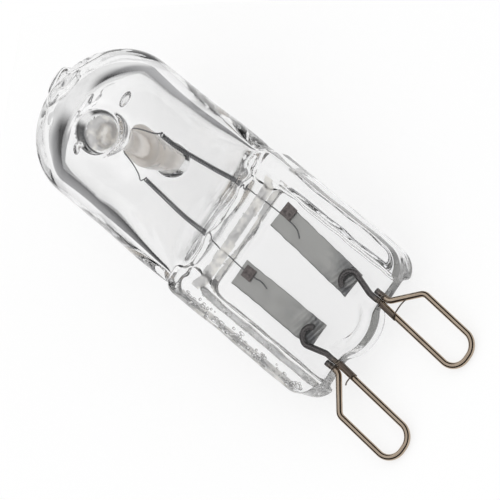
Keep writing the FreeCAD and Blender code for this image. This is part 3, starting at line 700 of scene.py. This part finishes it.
# The filament is bare wire and two windings of the same wire, all one piece. Legs and tails are (x, z) at the
# depth, and the bridge is (x, y, z).
coilSizes = {
    "wire": 0.055, "sides": 10, "spacing": 0.05, "depth": -0.095,
    "outside": 0.225, "pitch": 0.21, "perTurn": 14, "windingSides": 6,
    "bridge": [(-1.45, -0.1, 24.42), (-1.75, -0.1, 24.62), (-2.0, -0.1, 24.86), (-1.66, -0.2, 25.3),
               (-1.2, -0.42, 26.1), (-0.83, -0.6, 26.8), (-0.45, -0.62, 27.3), (0.25, -0.58, 27.56),
               (0.95, -0.5, 27.3), (1.4, -0.36, 26.6), (1.9, -0.2, 25.8), (2.36, -0.1, 25.3)],
    "tails": [[(-1.58, 16.7), (-1.9, 16.45), (-1.5, 16.2), (-1.62, 15.92), (-1.85, 15.5), (-1.98, 13.6),
               (-2.07, 12.0), (-2.05, 10.7), (-1.93, 9.8), (-2.08, 9.05)],
              [(3.0, 16.5), (3.35, 16.2), (3.08, 15.95), (3.22, 15.7), (3.32, 15.2), (3.38, 13.6),
               (3.41, 11.95), (3.37, 10.7), (3.2, 9.8), (2.8, 9.2)]],
    "legs": [[(-1.62, 24.5), (-1.72, 21.9), (-1.84, 19.2), (-1.75, 16.6)],
             [(2.2, 25.35), (2.36, 22.9), (2.72, 19.8), (3.14, 17.1), (3.17, 16.4)]],
}


# A helix: the wire's middle circles the leg's line once each pitch
def windingRings(leg):
    c = coilSizes
    path = lift(curveThrough(leg, c["pitch"] / c["perTurn"]), c["depth"])
    wide, thick = pathFrame(path)
    turn = (np.arange(len(path)) * 2 * math.pi / c["perTurn"])[:, None]
    out = np.cos(turn) * wide + np.sin(turn) * thick
    centre = path + (c["outside"] - c["wire"]) * out
    side = np.cross(unit(np.gradient(centre, axis=0)), out)
    return ringsRound(centre, c["wire"], c["windingSides"], out, side)


def makeFilament(material):
    c = coilSizes
    bare = [curveThrough(c["bridge"], c["spacing"])]
    bare += [lift(curveThrough(tail, c["spacing"]), c["depth"]) for tail in c["tails"]]
    rings = [wireRings(path, c["wire"], c["sides"]) for path in bare]
    rings += [windingRings(leg) for leg in c["legs"]]
    joinSkins("tungsten_filament", rings, material, "filament")


# Tungsten drawn through dies and wound hot: grey, with a soft line of light on each turn
makeFilament(plainMetal("drawn tungsten", "8c8c8e", 0.3))


# The foils, thin strips rippled near the pins; a hand has its middle's X, its lean in degrees and its seed
foilSizes = {
    "length": 9.2, "middle": 7.4, "halfWidth": 1.15, "thickness": 0.03, "depth": -0.005, "edgeThinning": 0.98,
    "left": {"x": -2.42, "lean": 0.0, "seed": 31}, "right": {"x": 2.95, "lean": 4.1, "seed": 32},
    "ripplePitch": 0.75, "rippleHeight": 0.05, "rippleSlant": 0.25, "rippleKnots": [(3.2, 1.0), (6.6, 0.0)],
    "edgeWave": (0.03, 1.1), "crumpleWave": (0.02, 1.6), "columns": 25, "rows": 160,
}


# A closed thin sheet: its front points at each (across, along), then its back points the other way round
def sheetRings(across, along, place, hand):
    front, back = (place(across[None, :], along[:, None], face, hand) for face in (1, -1))
    return np.concatenate([front, back[:, ::-1]], axis=1)


# A point beside a foil's middle line, turned by the foil's lean about its middle
def leanedPoint(x, y, z, hand):
    f = foilSizes
    lean = math.radians(f[hand]["lean"])
    upward = z - f["middle"]
    return np.stack(np.broadcast_arrays(f[hand]["x"] + x * math.cos(lean) + upward * math.sin(lean), y,
                                        f["middle"] - x * math.sin(lean) + upward * math.cos(lean)), -1)


# A foil's face at x from -1 to 1 across it: a sine wave along it and noise, thinned to the edges as an ellipse
def foilPoint(x, z, face, hand):
    f = foilSizes
    seed = f[hand]["seed"]
    edge = f["halfWidth"] + ripple(np.sign(x), 0, z, *f["edgeWave"], seed)
    wave = np.sin((z + f["rippleSlant"] * x) * 2 * math.pi / f["ripplePitch"]) * eased(z, f["rippleKnots"])
    crumple = ripple(x, 0, z, *f["crumpleWave"], seed + 1) + f["rippleHeight"] * wave
    thin = f["thickness"] / 2 * np.sqrt(1 - f["edgeThinning"] * x ** 2)
    return leanedPoint(x * edge, f["depth"] + crumple - face * thin, z, hand)


def makeFoils(material):
    f = foilSizes
    across = np.linspace(-1, 1, f["columns"])
    along = f["middle"] + f["length"] * np.linspace(-0.5, 0.5, f["rows"])
    for hand in ("left", "right"):
        joinSkins("molybdenum_foil_" + hand, [sheetRings(across, along, foilPoint, hand)], material,
                  "foil_" + hand)


# Molybdenum rolled thin: pale and dull, darker in soft patches of 1.5 mm towards the pin
def rolledFoil():
    material, tree = newMaterial("rolled foil")
    place = addNode(tree, "ShaderNodeTexCoord").outputs["Object"]
    patches = addNode(tree, "ShaderNodeTexNoise", {"Scale": 0.65 * perMetre, "Detail": 3.0, "Distortion": 0.6},
                      {"Vector": place})
    sharper = addNode(tree, "ShaderNodeMapRange", {"From Min": 0.35, "From Max": 0.65}, {"Value": patches})
    share = addNode(tree, "ShaderNodeMath", {"operation": "MULTIPLY"},
                    {0: heightShare(tree, place, 7.2, 3.5), 1: sharper})
    colour = addNode(tree, "ShaderNodeMixRGB",
                     {"Color1": linearColour("bdbdba"), "Color2": linearColour("7d7e80")}, {"Fac": share})
    shader = addNode(tree, "ShaderNodeBsdfPrincipled", {"Metallic": 1.0, "Roughness": 0.42},
                     {"Base Color": colour})
    addNode(tree, "ShaderNodeOutputMaterial", None, {"Surface": shader})
    return material


makeFoils(rolledFoil())


# The tabs welded on the foils: plates with rows of dents from the welding, pushed forward by the tail behind
tabSizes = {
    "left": {"x": 0.38, "z": 11.15, "halfWidth": 0.53, "halfHeight": 0.5},
    "right": {"x": 0.72, "z": 11.4, "halfWidth": 0.58, "halfHeight": 0.58},
    "depth": -0.19, "thickness": 0.05, "dents": 2.2, "dentDepth": 0.022, "lumpWave": (0.012, 0.35, 41),
    "tailPlace": -0.02, "tailReach": 0.12, "tailRise": 0.04, "steps": 40,
}


# A tab's face at x from -1 to 1 across it: a product of cosines for the dents, a bell over the tail, and noise
def tabPoint(x, z, face, hand):
    t, tab = tabSizes, tabSizes[hand]
    upward = (z - tab["z"]) / tab["halfHeight"]
    dent = np.cos(x * math.pi * t["dents"]) * np.cos(upward * math.pi * t["dents"])
    lumps = ripple(x * tab["halfWidth"], 0, z, *t["lumpWave"]) + t["dentDepth"] * dent
    tail = t["tailRise"] * np.exp(-((x * tab["halfWidth"] - t["tailPlace"]) / t["tailReach"]) ** 2)
    depth = t["depth"] - tail + lumps - face * t["thickness"] / 2
    return leanedPoint(tab["x"] + x * tab["halfWidth"], depth, z, hand)


def makeTabs(material):
    across = np.linspace(-1, 1, tabSizes["steps"])
    for hand in ("left", "right"):
        along = tabSizes[hand]["z"] + tabSizes[hand]["halfHeight"] * across
        joinSkins("weld_tab_plate_" + hand, [sheetRings(across, along, tabPoint, hand)], material,
                  "weld_tab_" + hand)


# Molybdenum cut to a plate and spot welded: brownish grey and dull from the heat
makeTabs(plainMetal("welded tab", "7f7775", 0.42))


# The ribbons pressed round the pins' inner wires. The loose end's course is (share of the wire's radius
# across, share of its own reach across, way back, height above the ribbon's lower end).
ribbonSizes = {
    "wall": 0.07, "length": 1.75, "top": -0.03, "turn": 215, "gap": 0.01, "columns": 30, "rows": 24,
    "ragged": 0.05, "raggedWaves": 5, "dent": 0.012, "dentWaves": 7,
    "looseReach": {"left": 0.55, "right": 1.4}, "looseHalf": 0.06, "looseSides": 8, "looseGap": 0.05,
    "looseCourse": [(0, 0, 0, 0.1), (0, 0, -0.01, 0.12), (1, 0.5, 0, 0.16), (1, 1, -0.03, 0.05)],
    "spacing": 0.05,
}


# A ribbon's face: an arc about the leaning wire, its lower end ragged by a sine wave
def ribbonWall(side, radius, angle):
    r, p = ribbonSizes, pinSizes
    ragged = 1 + r["ragged"] * np.sin(angle * r["raggedWaves"] + side)
    z = np.linspace(r["top"], -r["length"], r["rows"])[:, None] * ragged
    x = side * p["inner"] + leanShift(z) + radius * np.cos(angle)
    return np.stack(np.broadcast_arrays(x, p["depth"] + radius * np.sin(angle), z), -1)


def makeRibbons(material):
    r, p = ribbonSizes, pinSizes
    for hand, side in pinSides.items():
        middle = 0 if side < 0 else math.pi
        angle = middle + np.radians(np.linspace(-r["turn"] / 2, r["turn"] / 2, r["columns"]))
        outer = ribbonWall(side, p["radius"] + r["wall"] + r["dent"] * np.sin(angle * r["dentWaves"]), angle)
        inner = ribbonWall(side, p["radius"] + r["gap"], angle)
        foot = side * p["inner"] + leanShift(r["looseCourse"][0][3] - r["length"])
        front = p["depth"] - p["radius"] - r["looseGap"]
        course = [(foot + side * (p["radius"] * ofWire + r["looseReach"][hand] * ofReach), front + back,
                   up - r["length"]) for ofWire, ofReach, back, up in r["looseCourse"]]
        loose = wireRings(curveThrough(course, r["spacing"]), r["looseHalf"], r["looseSides"])
        joinSkins("lead_ribbon_" + hand, [np.concatenate([outer, inner[:, ::-1]], axis=1), loose], material,
                  "lead_sleeve_" + hand)


# Nickel ribbon pressed with a tool: dull, and browned beside the hot seal
makeRibbons(plainMetal("pressed ribbon", "7c7066", 0.4))


# The studio: a white sweep to lie on, and a room that metal and glass show as light panels over a dark
# horizon. Each band is (height from -1 to 1, shade).
studioSizes = {
    "floorHalf": (30.0, 21.8), "floorMiddle": (-2.7, -1.7), "floorTurn": 33.6, "backgroundShare": 0.72,
    "bands": [(-0.6, 0.4), (-0.2, 0.2), (0.02, 0.03), (0.76, 0.04), (0.86, 1.0), (0.91, 1.0), (0.96, 0.5)],
    "blueTint": 1.02, "paleSide": 0.8, "darkFrom": 0.12, "darkTo": 0.42,
    "quartzBounces": 48, "glossyBounces": 16,
}


# 1 on rays from metal or through glass
def reflectedRay(tree, path):
    return addNode(tree, "ShaderNodeMath", {"operation": "MAXIMUM"},
                   {0: path.outputs["Is Glossy Ray"], 1: path.outputs["Is Transmission Ray"]})


# Matt white paper, lit from all sides, which the camera, metal and glass see as white as the room
def makeFloor():
    s = studioSizes
    material, tree = newMaterial("white sweep")
    path = addNode(tree, "ShaderNodeLightPath")
    lit = addNode(tree, "ShaderNodeBsdfDiffuse", {"Color": linearColour("ffffff")})
    glow = addNode(tree, "ShaderNodeEmission", {"Color": linearColour("ffffff"), "Strength": 1.0})
    looking = addNode(tree, "ShaderNodeMath", {"operation": "MAXIMUM"},
                      {0: path.outputs["Is Camera Ray"], 1: reflectedRay(tree, path)})
    share = addNode(tree, "ShaderNodeMath", {"operation": "MULTIPLY", 1: s["backgroundShare"]}, {0: looking})
    both = addNode(tree, "ShaderNodeMixShader", None, {0: share, 1: lit, 2: glow})
    addNode(tree, "ShaderNodeOutputMaterial", None, {"Surface": both})
    turn = math.radians(s["floorTurn"])
    long = s["floorHalf"][0] * np.array([math.cos(turn), math.sin(turn), 0])
    wide = s["floorHalf"][1] * np.array([-math.sin(turn), math.cos(turn), 0])
    middle = np.array([*s["floorMiddle"], 0])
    corners = np.array([middle + a * long + b * wide for a, b in ((-1, -1), (1, -1), (1, 1), (-1, 1))])
    mesh = bpy.data.meshes.new("floor")
    mesh.from_pydata((corners / perMetre).tolist(), [], [(0, 1, 2, 3)])
    mesh.materials.append(material)
    floor = bpy.data.objects.new("floor", mesh)
    bpy.context.scene.collection.objects.link(floor)
    print("floor laid")


# The room is pale towards -X, beyond the dome, and dark near the horizon on its other three sides
def makeWorld():
    s = studioSizes
    world = bpy.data.worlds.new("studio")
    bpy.context.scene.world = world
    world.use_nodes = True
    tree = world.node_tree
    tree.nodes.clear()
    way = addNode(tree, "ShaderNodeTexCoord").outputs["Generated"]
    split = addNode(tree, "ShaderNodeSeparateXYZ", None, {"Vector": way})
    height = addNode(tree, "ShaderNodeMapRange", {"From Min": -1.0, "From Max": 1.0},
                     {"Value": split.outputs["Z"]})
    ramp = addNode(tree, "ShaderNodeValToRGB", None, {"Fac": height})
    stops = ramp.color_ramp.elements
    while len(stops) < len(s["bands"]):
        stops.new(1.0)
    for stop, (z, shade) in zip(stops, s["bands"]):
        stop.position = (z + 1) / 2
        stop.color = (shade, shade, shade * s["blueTint"], 1)
    beside = addNode(tree, "ShaderNodeMath", {"operation": "ABSOLUTE"}, {0: split.outputs["Y"]})
    toDark = addNode(tree, "ShaderNodeMath", {"operation": "MAXIMUM"}, {0: beside, 1: split.outputs["X"]})
    side = addNode(tree, "ShaderNodeMapRange",
                   {"From Min": s["darkFrom"], "From Max": s["darkTo"], "interpolation_type": "SMOOTHSTEP"},
                   {"Value": toDark})
    paleShade = (s["paleSide"], s["paleSide"], s["paleSide"], 1)
    pale = addNode(tree, "ShaderNodeMixRGB", {"blend_type": "LIGHTEN", "Fac": 1.0, "Color2": paleShade},
                   {"Color1": ramp})
    room = addNode(tree, "ShaderNodeMixRGB", None, {"Fac": side, "Color1": pale, "Color2": ramp})
    looking = reflectedRay(tree, addNode(tree, "ShaderNodeLightPath"))
    seen = addNode(tree, "ShaderNodeMixRGB", {"Color1": linearColour("ffffff")},
                   {"Fac": looking, "Color2": room})
    back = addNode(tree, "ShaderNodeBackground", {"Strength": 1.0}, {"Color": seen})
    addNode(tree, "ShaderNodeOutputWorld", None, {"Surface": back})
    print("room lit")


# The photograph's own view: in front of the upright lamp at two angles, and rolled; millimetres and degrees
cameraView = {
    "gamma": 24.5, "beta": 11.0, "roll": 50.5, "distance": 400.0, "sensor": 36.0, "clip": (0.01, 10.0),
    "pixelsPerMm": 12.525, "originPixel": (362.5, 333.4), "frameSize": 500,
}


# The camera stands on a ray from the lamp's origin, and aims past it so that it falls on its pixel
def makeCamera():
    v = cameraView
    gamma, beta, roll = (math.radians(v[name]) for name in ("gamma", "beta", "roll"))
    toward = np.array([math.sin(beta) * math.cos(gamma), -math.cos(beta) * math.cos(gamma), -math.sin(gamma)])
    upright = unit(np.array([0, 0, 1.0]) - toward[2] * toward)
    right = np.cross(-toward, upright)
    across = math.cos(roll) * right - math.sin(roll) * upright
    upward = math.sin(roll) * right + math.cos(roll) * upright
    offCentre = v["frameSize"] / 2 - np.array(v["originPixel"])
    aim = (across * offCentre[0] - upward * offCentre[1]) / v["pixelsPerMm"]
    place = toward * v["distance"]
    back = unit(place - aim)
    across = unit(across - (across @ back) * back)
    matrix = np.eye(4)
    matrix[:3, :3] = turnToRest @ np.stack([across, np.cross(back, across), back], 1)
    matrix[:3, 3] = toRest(place)
    camera = bpy.data.objects.new("camera", bpy.data.cameras.new("camera"))
    bpy.context.scene.collection.objects.link(camera)
    camera.matrix_world = Matrix(matrix.tolist())
    camera.data.sensor_width = v["sensor"]
    camera.data.lens = v["pixelsPerMm"] * v["distance"] / v["frameSize"] * v["sensor"]
    camera.data.clip_start, camera.data.clip_end = v["clip"]
    bpy.context.scene.camera = camera
    print("camera placed")


makeFloor()
makeWorld()
makeCamera()
bpy.context.scene.view_settings.view_transform = "Standard"
# Light runs along inside the thick quartz for many reflections before it leaves
bpy.context.scene.cycles.max_bounces = studioSizes["quartzBounces"]
bpy.context.scene.cycles.transmission_bounces = studioSizes["quartzBounces"]
bpy.context.scene.cycles.glossy_bounces = studioSizes["glossyBounces"]
